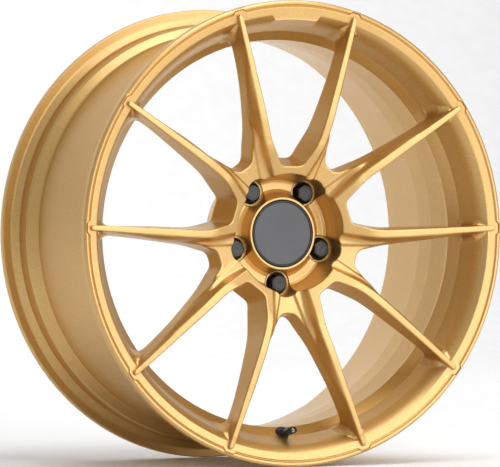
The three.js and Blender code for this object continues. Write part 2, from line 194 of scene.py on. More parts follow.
# What is turned away from the hub: in front of the webs, the ring-shaped hollow and the cap's place.
HUB_CUT = [
    (0, -30), (66.8, -30), (66.2, 14), (65.6, 25), (62.8, 40), (60.4, 47.0), (57.4, 49.2), (50, 49.4),
    (46.4, 47.4), (43.6, 42.4), (41.2, 36.2), (40.6, 35), (38.1, 35), (37.7, 35.5), (37.7, 41), (0, 41),
]
BORE_CUT = [(0, 30), (34, 30), (34, 66), (36.3, 66.4), (36.3, 79.9), (37.6, 82), (0, 82)]
PAD_CONE = [(0, 30), (84, 30), (83, 46), (80.4, 51), (74.4, 78.9), (72, 80.9), (0, 80.9)]
POCKET_RADIUS = 12.25
POCKET_TUBE = 13.6
SCOOP_RADIUS = 15.0
# Depths and radii along the middle of the rim's wall, where a spoke's foot stops.
WALL_MIDDLE = ((6, 12, 30, 36, 50), (243.5, 239.4, 237.3, 235.5, 221.5))
TUBE_TOP = 50.4


def folded(x, z):
    """x, z brought into the half sector between a V's middle line and the next bolt's line."""
    x = np.abs(x)
    over = np.maximum(x * COS_STEP - z * SIN_STEP, 0.0)
    return x - 2 * over * COS_STEP, z + 2 * over * SIN_STEP


def line_side(x, z, start, end):
    """Distance to the right of the line from start to end."""
    dx, dz = end[0] - start[0], end[1] - start[1]
    length = math.hypot(dx, dz)
    return ((x - start[0]) * dz - (z - start[1]) * dx) / length


def windows(x, z, d, s, t):
    """Distances into the solid from the window inside a V and from the one between two Vs."""
    front, half = strip_depth(s), strip_half(s)
    bottom = 74.7 + 0.3 * (d - 11) - z
    corner = line_side(x, z, (14, 76), (28.6, 102)) + 0.15 * (d - 8)
    flank = t + half + inner_lean(s) * (d - front)
    inside_v = smooth_max(smooth_max(bottom, corner, 5.0), flank, 3.0)
    b = x * SIN_STEP + z * COS_STEP
    between = smooth_max(89.2 + 0.19 * (d - 20) - b, 44.8 + 0.13 * (d - 18) - x, 6.0)
    outer = crease_out(s) + outer_lean(s) * (d - crease_depth(s)) - t
    return inside_v, smooth_max(between, outer, 8.0)


def face_distance(x, z, d):
    """Signed distance, roughly, to the hub and spokes, negative in the metal."""
    x, z = folded(x, z)
    r = np.hypot(x, z)
    s = (x - ELBOW[0]) * ALONG[0] + (z - ELBOW[1]) * ALONG[1]
    t = (x - ELBOW[0]) * ACROSS[0] + (z - ELBOW[1]) * ACROSS[1]
    front, half = strip_depth(s), strip_half(s)
    top = smooth_max(0.43 * (99.5 - z), front, 4.0)

    # The raised strips: along each spoke, and round the inner end of the window.
    crease, fold = crease_out(s), crease_depth(s)
    lean = (crease - half) / np.maximum(fold - front, 1.5)
    spoke_side = (t - half - lean * (d - front)) / np.sqrt(1 + lean * lean)
    edge = line_side(x, z, (21.4, 67), (38.2, 100.5)) - 0.5 * (d - top)
    elbow_edge = line_side(x, z, (38.2, 100.5), (41.4, 110)) - 0.4 * (d - top)
    side = smooth_max(smooth_max(edge, elbow_edge, 2.0) * 0.9, spoke_side, 2.0)
    strips = smooth_max(side, (top - d) * 0.92, 1.6)

    # The flat webs between the Vs, with a low three-cornered step against each strip.
    out = x * SIN_STEP + z * COS_STEP
    web_top = smooth_max(22.4 - 0.26 * (out - 81), 14 + 0.3 * (z - 105), 3.0)
    step_side = line_side(x, z, (31.8, 60), (45.6, 100))
    low_step = smooth_max((web_top - 2.7 - d) * 0.97, (step_side - 0.9 * (d - web_top + 2.7)) / 1.35, 0.9)
    web = smooth_min((web_top - d) * 0.97, low_step, 0.9)
    body = smooth_min(strips, web, 5.0)

    in_v, between = windows(x, z, d, s, t)
    body = smooth_max(body, -in_v, 1.8)
    body = smooth_max(body, -between, 2.2)

    # The turned hub.
    back = smooth_min(d - back_depth(r), polygon_distance(r, d, PAD_CONE), 5.0)
    body = smooth_max(body, back, 3.5)
    body = smooth_max(body, -polygon_distance(r, d, HUB_CUT), 1.6)

    # A tube for each bolt, scooped clear round its mouth.
    bolt = np.hypot(x - BOLT_CIRCLE * SIN_STEP, z - BOLT_CIRCLE * COS_STEP)
    tube = smooth_max(bolt - POCKET_TUBE, smooth_max(TUBE_TOP - d, d - 60, 0.6), 0.6)
    body = smooth_max(body, -smooth_max(bolt - SCOOP_RADIUS, d - (TUBE_TOP + 0.3), 0.8), 1.0)
    body = smooth_min(body, tube, 0.8)
    body = smooth_max(body, -polygon_distance(r, d, BORE_CUT), 0.5)
    pocket = smooth_max(bolt - POCKET_RADIUS, d - 59.5, 0.6)
    seat = np.maximum(bolt - (POCKET_RADIUS - 0.55 * np.maximum(d - 59.5, 0)), d - 67)
    hole = np.minimum(np.minimum(pocket, seat), bolt - 8.25)
    body = smooth_max(body, -hole, 0.8)

    # Each spoke runs into the rim with a flared foot, and its strip ends on the rim's face.
    metal = polygon_distance(r, d, FRONT_METAL)
    flare = np.interp(d, (-3.0, 1.0, 12.0), (0.8, 1.5, 13.0))
    joined = smooth_min(smooth_max(body, r - 240.0, 3.0), metal + 0.15, flare)
    joined = np.maximum(joined, r - np.interp(d, *WALL_MIDDLE))
    joined = np.maximum(joined, body - 11.0)
    tip_end = smooth_max(s - 137.6, np.abs(t) - half, 3.5)
    tip = smooth_max(smooth_max(front - d, d - 5.0, 1.0), tip_end, 1.6)
    tip = np.maximum(tip, 20.0 - s)
    return np.where(r > 190, smooth_min(joined, tip, 1.0), body)


def grid_lines(spans):
    """Grid lines over [start, end, pitch] spans."""
    lines = [spans[0][0]]
    for start, end, pitch in spans:
        count = max(1, round((end - start) / pitch))
        lines.extend(start + (end - start) * (i + 1) / count for i in range(count))
    return np.array(lines)


def face_grid():
    """x, z, d of grid nodes over a half sector, lined up with the spoke."""
    radii = grid_lines([(31, 112, 1.35), (112, 222, 2.0), (222, 252, 1.3)])
    depths = grid_lines([(-7, 26, 1.1), (26, 50, 1.6), (50, 83, 3.2)])
    fine, side = 28, 11
    reach = 17.0
    down = ELBOW @ ALONG
    s = -down + np.sqrt(down * down - ELBOW @ ELBOW + np.maximum(radii, 108.5) ** 2)
    middle = np.arctan2(ELBOW[0] + s * ALONG[0], ELBOW[1] + s * ALONG[1])
    angles = []
    for r, a in zip(radii, middle):
        wide = min(reach / r, 0.6 * a)
        angles.append(grid_lines([(0, a - wide, (a - wide) / side), (a - wide, a + wide, 2 * wide / fine),
                                  (a + wide, STEP, (STEP - a - wide) / side)]))
    angles = np.array(angles).T
    x = (radii * np.sin(angles))[:, :, None]
    z = (radii * np.cos(angles))[:, :, None]
    shape = (x.shape[0], len(radii), len(depths))
    return tuple(np.broadcast_to(a, shape) for a in (x, z, depths[None, None, :]))


def surface_of(distance, x, z, d):
    """One vertex in each grid cell that the surface passes through: ids of cells, then points."""
    f = distance(x, z, d)
    node = np.stack([x, z, d], -1)
    cells = tuple(n - 1 for n in f.shape)
    total = np.zeros(cells + (3,))
    count = np.zeros(cells)
    for axis in range(3):
        n = f.shape[axis]
        low = np.take(f, range(n - 1), axis)
        high = np.take(f, range(1, n), axis)
        crosses = (low < 0) != (high < 0)
        share = np.where(crosses, low / np.where(crosses, low - high, 1.0), 0.0)[..., None]
        point = np.take(node, range(n - 1), axis) * (1 - share) + np.take(node, range(1, n), axis) * share
        others = [a for a in range(3) if a != axis]
        for first in (0, 1):
            for second in (0, 1):
                pick = [slice(None)] * 3
                pick[others[0]] = slice(first, first + cells[others[0]])
                pick[others[1]] = slice(second, second + cells[others[1]])
                pick = tuple(pick)
                total += point[pick] * crosses[pick][..., None]
                count += crosses[pick]
    used = count > 0
    ids = np.full(cells, -1)
    ids[used] = np.arange(used.sum())
    return f, ids, total[used] / count[used][:, None]


def gradient(distance, p, step=0.04):
    g = np.empty_like(p)
    for axis in range(3):
        shift = np.zeros(3)
        shift[axis] = step
        g[:, axis] = (distance(*(p + shift).T) - distance(*(p - shift).T)) / (2 * step)
    return g


def settle(distance, p, furthest=0.6, rounds=4):
    """Moves points onto the surface."""
    start = p.copy()
    for _ in range(rounds):
        g = gradient(distance, p)
        size = np.maximum((g * g).sum(1), 0.05)
        p = p - g * (distance(*p.T) / size)[:, None]
        off = p - start
        length = np.linalg.norm(off, axis=1, keepdims=True)
        p = start + off * np.minimum(1.0, furthest / np.maximum(length, 1e-9))
    return p


def face_mesh():
    """Vertices, quads and normals of the whole face, from one half sector."""
    f, ids, points = surface_of(face_distance, *face_grid())
    points = settle(face_distance, points)
    normals = gradient(face_distance, points)
    normals /= np.maximum(np.linalg.norm(normals, axis=1, keepdims=True), 1e-9)
    count = len(points)
    all_points, all_normals, all_ids, all_inside = [], [], [], []
    for sector in range(2 * V_COUNT):
        v_turn = (sector + 1) // 2 * 2 * STEP
        side = -1.0 if sector % 2 else 1.0
        c, s = math.cos(v_turn), math.sin(v_turn)

        def placed(p):
            x, z = p[:, 0] * side, p[:, 1]
            return np.stack([x * c + z * s, p[:, 2], z * c - x * s], 1)

        all_points.append(placed(points) + (0, LIP, 0))
        all_normals.append(placed(normals))
        here = np.where(ids >= 0, ids + sector * count, -1)
        inside = f[:-1] < 0
        if sector % 2:
            here = here[::-1]
            inside = f[:0:-1] < 0
        all_ids.append(here)
        all_inside.append(inside)
    ids, inside = np.concatenate(all_ids), np.concatenate(all_inside)
    quads = []

    def add(corners, flip):
        good = np.all([c >= 0 for c in corners], 0)
        q = np.stack([c[good] for c in corners], 1)
        flip = ~flip[good]
        q[flip] = q[flip][:, ::-1]
        quads.append(q)

    # Edges along the angle, the radius and the depth, each with the four cells round it.
    nxt = np.roll(inside, -1, 0)
    e = inside[:, 1:-1, 1:-1] != nxt[:, 1:-1, 1:-1]
    cells = [ids[:, :-1, :-1], ids[:, 1:, :-1], ids[:, 1:, 1:], ids[:, :-1, 1:]]
    add([c[e] for c in cells], ~inside[:, 1:-1, 1:-1][e])
    prev = np.roll(ids, 1, 0)
    e = inside[:, :-1, 1:-1] != inside[:, 1:, 1:-1]
    cells = [prev[:, :, :-1], prev[:, :, 1:], ids[:, :, 1:], ids[:, :, :-1]]
    add([c[e] for c in cells], ~inside[:, :-1, 1:-1][e])
    e = inside[:, 1:-1, :-1] != inside[:, 1:-1, 1:]
    cells = [prev[:, :-1, :], ids[:, :-1, :], ids[:, 1:, :], prev[:, 1:, :]]
    add([c[e] for c in cells], ~inside[:, 1:-1, :-1][e])
    return np.concatenate(all_points), np.concatenate(quads), np.concatenate(all_normals)


# ---------------------------------------------------------------- meshes
def lathe(profile, segments=96, start=0.0, sweep=2 * math.pi):
    """Points and faces of a closed [radius, depth] profile swept about Y, capped if it stops short."""
    profile = np.array(profile, float)
    whole = sweep > 2 * math.pi - 1e-6
    count = segments if whole else segments + 1
    a = start + np.arange(count) * sweep / segments
    r, d = profile[:, 0], profile[:, 1]
    x = np.outer(np.cos(a), r)
    z = np.outer(np.sin(a), r)
    points = np.stack([x, np.broadcast_to(LIP + d, x.shape), z], -1).reshape(-1, 3)
    return points, grid_faces(count, len(profile), whole, True, not whole)


def grid_faces(rows, columns, rows_close=True, columns_close=True, caps=False):
    """Quads over a grid of points, with its first and last rows filled in if caps is set."""
    i = np.arange(rows if rows_close else rows - 1)[:, None]
    j = np.arange(columns if columns_close else columns - 1)[None, :]
    i2, j2 = (i + 1) % rows, (j + 1) % columns
    quads = np.stack([i * columns + j, i * columns + j2, i2 * columns + j2, i2 * columns + j], -1)
    faces = [tuple(q) for q in quads.reshape(-1, 4).tolist()]
    if caps:
        faces.append(tuple(range(columns))[::-1])
        faces.append(tuple((rows - 1) * columns + k for k in range(columns)))
    return faces


def joined_parts(parts):
    points, faces, base = [], [], 0
    for p, f in parts:
        points.append(p)
        faces.extend(tuple(k + base for k in face) for face in f)
        base += len(p)
    return np.concatenate(points), faces


def mesh_object(name, points, faces, material, normals=None, sharp=None):
    """A mesh object from points in millimetres. Faces end up facing out."""
    mesh = bpy.data.meshes.new(name)
    mesh.from_pydata((np.asarray(points) * MM).tolist(), [], [tuple(f) for f in faces])
    mesh.validate()
    mesh.update()
    obj = bpy.data.objects.new(name, mesh)
    bpy.context.scene.collection.objects.link(obj)
    mesh.materials.append(material)
    work = bmesh.new()
    work.from_mesh(mesh)
    open_edges = [e for e in work.edges if e.is_boundary]
    if open_edges:
        caps = bmesh.ops.holes_fill(work, edges=open_edges, sides=0)["faces"]
        if normals is not None:
            # A fan from its middle keeps each cap inside the metal.
            bmesh.ops.poke(work, faces=caps)
    bmesh.ops.recalc_face_normals(work, faces=work.faces)
    if normals is None:
        ngons = [f for f in work.faces if len(f.verts) > 4]
        if ngons:
            bmesh.ops.triangulate(work, faces=ngons)
    work.to_mesh(mesh)
    work.free()
    for polygon in mesh.polygons:
        polygon.use_smooth = True
    if normals is not None:
        cap_middles = len(mesh.vertices) - len(normals)
        normals = [tuple(n) for n in normals] + [(0.0, -1.0, 0.0)] * cap_middles
        mesh.normals_split_custom_set_from_vertices(normals)
    else:
        mesh.set_sharp_from_angle(angle=math.radians(sharp or 28))
        weigh = obj.modifiers.new("weigh", "WEIGHTED_NORMAL")
        weigh.keep_sharp = True
        weigh.weight = 100
    return obj


# ---------------------------------------------------------------- materials
def node_material(name):
    material = bpy.data.materials.new(name)
    material.use_nodes = True
    tree = material.node_tree
    tree.nodes.clear()
    out = tree.nodes.new("ShaderNodeOutputMaterial")
    shader = tree.nodes.new("ShaderNodeBsdfPrincipled")
    tree.links.new(shader.outputs[0], out.inputs[0])
    return material, tree, shader


def add_noise(tree, scale, detail=2.0, roughness=0.5):
    place = tree.nodes.new("ShaderNodeTexCoord")
    noise = tree.nodes.new("ShaderNodeTexNoise")
    noise.inputs["Scale"].default_value = scale
    noise.inputs["Detail"].default_value = detail
    noise.inputs["Roughness"].default_value = roughness
    tree.links.new(place.outputs["Object"], noise.inputs["Vector"])
    return noise.outputs["Fac"]


def add_range(tree, value, low, high, to_low, to_high):
    node = tree.nodes.new("ShaderNodeMapRange")
    node.inputs["From Min"].default_value = low
    node.inputs["From Max"].default_value = high
    node.inputs["To Min"].default_value = to_low
    node.inputs["To Max"].default_value = to_high
    tree.links.new(value, node.inputs["Value"])
    return node.outputs["Result"]


def add_ramp(tree, value, stops):
    node = tree.nodes.new("ShaderNodeValToRGB")
    ramp = node.color_ramp
    while len(ramp.elements) < len(stops):
        ramp.elements.new(0.5)
    for element, (place, colour) in zip(ramp.elements, stops):
        element.position = place
        element.color = (*colour, 1.0)
    tree.links.new(value, node.inputs["Fac"])
    return node.outputs["Color"]


def add_bump(tree, height, distance, strength=1.0, normal=None):
    node = tree.nodes.new("ShaderNodeBump")
    node.inputs["Distance"].default_value = distance
    node.inputs["Strength"].default_value = strength
    tree.links.new(height, node.inputs["Height"])
    if normal is not None:
        tree.links.new(normal, node.inputs["Normal"])
    return node.outputs["Normal"]


def surface_material(name, dark, light, rough, metallic, scale=900.0, bump=0.00002, coat=0.0,
                     coat_roughness=0.1):
    """Two shades mixed by fine noise, uneven gloss and a faint texture."""
    material, tree, shader = node_material(name)
    fine = add_noise(tree, scale)
    broad = add_noise(tree, 24.0, 3.0)
    tree.links.new(add_ramp(tree, fine, [(0.3, dark), (0.7, light)]), shader.inputs["Base Color"])
    tree.links.new(add_range(tree, broad, 0.3, 0.7, rough * 0.88, rough * 1.12), shader.inputs["Roughness"])
    tree.links.new(add_bump(tree, fine, bump), shader.inputs["Normal"])
    shader.inputs["Metallic"].default_value = metallic
    shader.inputs["Coat Weight"].default_value = coat
    shader.inputs["Coat Roughness"].default_value = coat_roughness
    return material


def gold_paint():
    """Metallic gold paint: fine flake that varies in shade and tilt, under clear coat."""
    material, tree, shader = node_material("gold_paint")
    place = tree.nodes.new("ShaderNodeTexCoord")
    flake = tree.nodes.new("ShaderNodeTexVoronoi")
    flake.inputs["Scale"].default_value = 1400.0
    tree.links.new(place.outputs["Object"], flake.inputs["Vector"])
    shade = tree.nodes.new("ShaderNodeSeparateColor")
    tree.links.new(flake.outputs["Color"], shade.inputs["Color"])
    tint = add_ramp(tree, shade.outputs[0], [
        (0.0, (0.56, 0.335, 0.095)), (0.55, (0.6, 0.365, 0.115)), (1.0, (0.65, 0.41, 0.14))])
    tree.links.new(tint, shader.inputs["Base Color"])
    broad = add_noise(tree, 14.0, 3.0)
    tree.links.new(add_range(tree, broad, 0.3, 0.7, 0.41, 0.46), shader.inputs["Roughness"])
    grain = add_noise(tree, 1100.0, 1.0)
    orange_peel = add_noise(tree, 170.0, 1.0)
    normal = add_bump(tree, grain, 0.000008)
    tree.links.new(normal, shader.inputs["Normal"])
    tree.links.new(add_bump(tree, orange_peel, 0.000008), shader.inputs["Coat Normal"])
    shader.inputs["Metallic"].default_value = 0.92
    shader.inputs["Specular Tint"].default_value = (0.9, 0.68, 0.36, 1.0)
    shader.inputs["Coat Weight"].default_value = 0.8
    shader.inputs["Coat Roughness"].default_value = 0.24
    shader.inputs["Coat IOR"].default_value = 1.6
    return material


GOLD = gold_paint()
BLACK_STEEL = surface_material("black_steel", (0.030, 0.030, 0.032), (0.052, 0.052, 0.054), 0.42, 0.7)
HEAD_GREY = surface_material("bolt_head_face", (0.05, 0.05, 0.053), (0.08, 0.08, 0.083), 0.5, 0.5)
BLACK_GLOSS = surface_material(
    "black_plastic", (0.006, 0.006, 0.007), (0.01, 0.01, 0.011), 0.3, 0.0)
BLACK_MATT = surface_material("black_nylon", (0.014, 0.014, 0.015), (0.026, 0.026, 0.027), 0.5, 0.0)
DISC_GREY = surface_material(
    "grey_disc", (0.072, 0.074, 0.078), (0.092, 0.094, 0.099), 0.5, 0.1, scale=1600.0)
BRIGHT_STEEL = surface_material("bright_steel", (0.50, 0.50, 0.51), (0.64, 0.64, 0.65), 0.28, 1.0)
BRASS = surface_material("brass", (0.50, 0.36, 0.15), (0.62, 0.46, 0.20), 0.34, 1.0)
RUBBER = surface_material("rubber", (0.015, 0.015, 0.015), (0.028, 0.028, 0.028), 0.78, 0.0, bump=0.00005)
FLOOR = surface_material("studio_floor", (0.91, 0.91, 0.91), (0.94, 0.94, 0.94), 0.9, 0.0, scale=30.0)

# ---------------------------------------------------------------- hub and spokes
HUB_EDGE = 97.0  # radius where the hub's mesh hands over to the spokes'


def build_face():
    points, quads, normals = face_mesh()
    middle = points[quads].mean(1)
    radius = np.hypot(middle[:, 0], middle[:, 2])
    angle = np.arctan2(middle[:, 0], middle[:, 2])
    pair = np.round(angle / (2 * STEP)).astype(int) % V_COUNT
    spans = [("hub_forging", radius < HUB_EDGE)]
    spans += [(f"spoke_pair_{i + 1}", (radius >= HUB_EDGE) & (pair == i)) for i in range(V_COUNT)]
    made = []
    for name, chosen in spans:
        used, faces = np.unique(quads[chosen], return_inverse=True)
        faces = faces.reshape(-1, 4)
        made.append(mesh_object(name, points[used], faces.tolist(), GOLD, normals[used]))
    return made


# ---------------------------------------------------------------- rim
TIP_ANGLE = math.atan2(TIP[0], TIP[1])
TIP_ANGLES = [2 * STEP * i + side * TIP_ANGLE for i in range(V_COUNT) for side in (-1, 1)]
PAD_HALF = math.radians(7.2)  # a plain raised pad at the top of the lip
PAD_CHAMFER = math.radians(1.1)


def smooth_step(x, low, high):
    t = np.clip((x - low) / (high - low), 0, 1)
    return t * t * (3 - 2 * t)


LAND_RADIUS, LAND_DEPTH = 242.8, 0.6  # inner corner of the lip's face
LAND_SLOPE = 0.234
FLANGE_RADIUS = 258.8
# The groove in the lip's face, as distance across it over its half width, and depth.
GROOVE_SECTION = [
    (-1.5, 0.0), (-1.15, 0.15), (-0.8, 1.1), (-0.4, 1.6), (0.2, 1.6), (0.6, 1.1), (0.95, 0.15), (1.35, 0.0)]


def land_depth(radius):
    return LAND_DEPTH - (radius - LAND_RADIUS) * LAND_SLOPE


def rim_angles():
    """Angles from straight up, close together where the lip changes shape."""
    marks = set(np.arange(0, 360, 1.25).tolist())
    for tip in TIP_ANGLES:
        marks.update((math.degrees(tip) + np.arange(-2.75, 2.76, 0.25)).round(4).tolist())
    for end in (-1, 1):
        marks.update((end * math.degrees(PAD_HALF) + np.arange(-1.2, 1.21, 0.3)).round(4).tolist())
    angles = np.unique(np.array([m % 360 for m in marks]).round(4))
    keep = np.concatenate([[True], np.diff(angles) > 0.12])
    return np.radians(angles[keep])


def build_rim():
    angles = rim_angles()
    apart = np.abs((angles[:, None] - np.array(TIP_ANGLES)[None, :] + math.pi) % (2 * math.pi) - math.pi)
    apart = apart.min(1)
    across = apart * 250.0
    bump = 1 - smooth_step(across, 4.2, 8.4)
    from_top = np.abs((angles + math.pi) % (2 * math.pi) - math.pi)
    pad = 1 - smooth_step(from_top, PAD_HALF - PAD_CHAMFER, PAD_HALF)
    section = rounded(RIM_OUTSIDE + RIM_INSIDE[:-1])
    rows = []
    for swell, flat in zip(bump, pad):
        corner_r, corner_d = LAND_RADIUS - 5.4 * flat, LAND_DEPTH + 0.9 * flat
        groove = 252.8 + 3.0 * swell
        width = 1.25 - 0.55 * swell
        outer = 256.2 + 1.2 * swell
        land = [corner_r + 0.25, corner_r + 1.0, corner_r + 2.2]
        land += list(np.linspace(max(corner_r + 3.2, 244.5), groove - 2.2 * width, 5))
        land = [(r, land_depth(r)) for r in land]
        land[0] = (corner_r + 0.05, corner_d + 0.15)
        land += [(groove + o * width, land_depth(groove + o * width) + deep) for o, deep in GROOVE_SECTION]
        land = np.array(land)
        row = section.copy()
        near = row[:, 0] > 255.0
        front = near & (row[:, 1] < 3.0)
        row[front, 0] = FLANGE_RADIUS - (FLANGE_RADIUS - row[front, 0]) * (FLANGE_RADIUS - outer) / 3.2
        rows.append(np.concatenate([land, row]))
    rows = np.array(rows)
    x = rows[:, :, 0] * np.sin(angles)[:, None]
    z = rows[:, :, 0] * np.cos(angles)[:, None]
    points = np.stack([x, LIP + rows[:, :, 1], z], -1).reshape(-1, 3)
    return mesh_object("rim_forging", points, grid_faces(len(angles), rows.shape[1]), GOLD, sharp=40)


# ---------------------------------------------------------------- bolts
HEX_HALF = 8.5
HEAD_TOP = 43.0
FLANGE_DEPTH = 57.5
FLANGE_END = 59.3
THREAD_START = 68.0
SHANK_END = 94.0
BOLT_ANGLES = [math.radians(54 - 72 * i) for i in range(5)]


def threaded(radius, start, end, pitch, depth, angles, rows_per_turn=6):
    """Rows of radii and heights for a helical thread that fades out at both ends."""
    heights = np.arange(start, end, pitch / rows_per_turn)
    phase = (heights[:, None] / pitch - angles[None, :] / (2 * math.pi)) % 1.0
    ridge = np.abs(phase * 2 - 1)
    fade = np.clip(np.minimum(heights - start, end - heights) / pitch, 0, 1)[:, None]
    return radius - depth * fade * ridge, heights


def bolt_mesh():
    """A hexagon head with a flange, a plain shank and a thread, about the Y axis."""
    angles = np.arange(72) / 72 * 2 * math.pi
    off = (angles + math.pi / 6) % (math.pi / 3) - math.pi / 6
    hexagon = HEX_HALF / np.cos(off)
    # The corners of the hexagon are softened.
    hexagon = np.minimum(hexagon, HEX_HALF / math.cos(math.pi / 6) - 0.25)
    rows = []
    crown = [
        (0.02, 0.45), (1.2, 0.45), (2.0, 0.35), (2.5, 0.05), (3.0, 0), (5.6, 0),
        (5.9, 0.22), (6.3, 0.22), (6.6, 0), (7.6, 0.02), (7.85, 0.1), (8.0, 0.35)]
    rows += [(np.full(72, r), HEAD_TOP + d) for r, d in crown]
    for d in (0.55, 0.8, 1.05, 1.3, 1.6, 2.2, 7.0):
        rows.append((np.minimum(hexagon, 8.0 + (d - 0.35) * 1.732), HEAD_TOP + d))
    rows.append((hexagon, FLANGE_DEPTH - 2.6))
    for k in range(7):
        a = k / 6 * math.pi / 2
        rows.append((hexagon + (10.2 - hexagon) * (1 - math.cos(a)), FLANGE_DEPTH - 2.0 + 1.3 * math.sin(a)))
    for r, d in ((10.6, -0.6), (10.8, -0.3), (10.8, 1.5), (10.6, 1.8), (7.4, 1.8), (7.0, 2.2)):
        rows.append((np.full(72, r), FLANGE_DEPTH + d))
    rows.append((np.full(72, 7.0), THREAD_START))
    radii, heights = threaded(7.0, THREAD_START + 0.3, SHANK_END - 1.4, 1.5, 0.85, angles)
    rows += list(zip(radii, heights))
    for r, d in ((6.6, -1.2), (5.7, -0.1), (5.4, 0.0), (0.02, 0.0)):
        rows.append((np.full(72, r), SHANK_END + d))
    points = np.array([
        np.stack([r * np.cos(angles), np.full(72, LIP + d), r * np.sin(angles)], -1) for r, d in rows])
    count = len(rows)
    return points.reshape(-1, 3), grid_faces(count, 72, rows_close=False, caps=True)


def build_bolts():
    points, faces = bolt_mesh()
    top = FLANGE_END + 0.3
    collar = rounded([
        (7.4, top, 0.2), (11.6, top, 0.4), (11.9, 60.0, 0.3),
        (8.3, 66.0, 0.3), (7.4, 66.0, 0.2)], closed=True)
    ring_points, ring_faces = lathe(collar, 96)
    for i, angle in enumerate(BOLT_ANGLES):
        place = np.array([BOLT_CIRCLE * math.cos(angle), 0, BOLT_CIRCLE * math.sin(angle)])
        bolt = mesh_object(f"wheel_bolt_{i + 1}", points + place, faces, BLACK_STEEL, sharp=32)
        bolt.data.materials.append(HEAD_GREY)
        for polygon in bolt.data.polygons:
            middle = polygon.center
            if middle.y < (LIP + HEAD_TOP + 1.25) * MM:
                polygon.material_index = 1
        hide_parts(f"lug_bolt_{i + 1}")
        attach(bolt, f"bolt_{i + 1}")
        ring = mesh_object(f"taper_collar_{i + 1}", ring_points + place, ring_faces, BLACK_STEEL)
        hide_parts(f"bolt_collar_{i + 1}")
        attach(ring, f"collar_{i + 1}")


# ---------------------------------------------------------------- centre cap and hub ring
def build_cap():
    bezel = rounded([
        (0.02, 39.6, 0), (31.5, 39.6, 0.4), (31.5, 42.0, 0.3), (33.2, 42.0, 0.3), (33.2, 39.8, 0.4),
        (37.2, 39.8, 0.3), (37.2, 36.0, 0.8), (36.6, 35.0, 0.6), (35.2, 35.0, 0.3), (35.0, 37.2, 0.2),
        (0.02, 37.2, 0)], closed=False)
    angles = np.arange(144) / 144 * 2 * math.pi
    points = np.array([
        np.stack([r * np.cos(angles), np.full(144, LIP + d), r * np.sin(angles)], -1) for r, d in bezel])
    parts = [(points.reshape(-1, 3), grid_faces(len(bezel), 144, rows_close=False, caps=True))]
    leg = rounded([
        (31.5, 41.8, 0), (33.2, 41.8, 0), (33.2, 45.0, 0.6), (33.6, 47.5, 0.5), (33.2, 50.5, 0.5),
        (31.5, 50.5, 0.3)], closed=True)
    wide = math.radians(60) - 2 * math.asin(4 / 32.4)
    for k in range(6):
        start = math.radians(30 + 60 * k) - wide / 2
        parts.append(lathe(leg, 20, start, wide))
    cap = mesh_object("cap_shell", *joined_parts(parts), BLACK_GLOSS)
    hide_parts("centre_cap")

    face = rounded([
        (0.02, 36.9, 0), (34.8, 36.9, 0.2), (34.8, 35.65, 0.3),
        (34.5, 35.4, 0.3), (0.02, 35.4, 0)], closed=False)
    points = np.array([
        np.stack([r * np.cos(angles), np.full(144, LIP + d), r * np.sin(angles)], -1) for r, d in face])
    disc = mesh_object(
        "cap_face", points.reshape(-1, 3), grid_faces(len(face), 144, rows_close=False, caps=True), DISC_GREY)
    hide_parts("cap_disc")

    # The spring wire is a round bar bent to a ring, with a gap at the bottom.
    gap = math.asin(3.0 / 30.0)
    bend = np.linspace(-math.pi / 2 + gap, 1.5 * math.pi - gap, 121)
    section = [(30 + 0.65 * math.cos(a), 46 + 0.65 * math.sin(a)) for a in np.arange(12) / 12 * 2 * math.pi]
    wire_points, wire_faces = lathe(section, 120, bend[0], bend[-1] - bend[0])
    wire = mesh_object("cap_spring", wire_points, wire_faces, BRIGHT_STEEL)
    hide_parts("cap_wire")

    ring_profile = rounded([
        (33.3, 67.0, 0.4), (36.0, 67.0, 0.3), (36.0, 79.9, 0.2), (35.4, 80.5, 0.3), (34.3, 80.5, 0.3),
        (33.3, 79.5, 0.3)], closed=True)
    ring = mesh_object("centring_ring", *lathe(ring_profile, 144), BLACK_MATT)
    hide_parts("hub_ring")
    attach(ring, "wheel")
    for piece in (cap, disc, wire):
        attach(piece, "cap")


# ---------------------------------------------------------------- valve
VALVE_LEAN = math.radians(10)
VALVE_FOOT_RADIUS = 223.5
VALVE_FOOT_DEPTH = 38.0
VALVE_SIDES = 60


def in_hole(points):
    """Points about a stem standing along -Y at the origin, leant towards the axis in their place."""
    c, s = math.cos(VALVE_LEAN), math.sin(VALVE_LEAN)
    x, y, z = np.asarray(points, float).T
    return np.stack([x, LIP + VALVE_FOOT_DEPTH + y * c + z * s, -VALVE_FOOT_RADIUS - y * s + z * c], 1)


def stem_rows(rows, rod=False):
    """A ring of [radii, height] rows round the stem's axis, or a rod with filled ends."""
    angles = np.arange(VALVE_SIDES) / VALVE_SIDES * 2 * math.pi
    points = np.array([
        np.stack([np.broadcast_to(r, VALVE_SIDES) * np.cos(angles), np.full(VALVE_SIDES, -h),
                  np.broadcast_to(r, VALVE_SIDES) * np.sin(angles)], -1) for r, h in rows])
    return in_hole(points.reshape(-1, 3)), grid_faces(len(rows), VALVE_SIDES, not rod, True, rod)


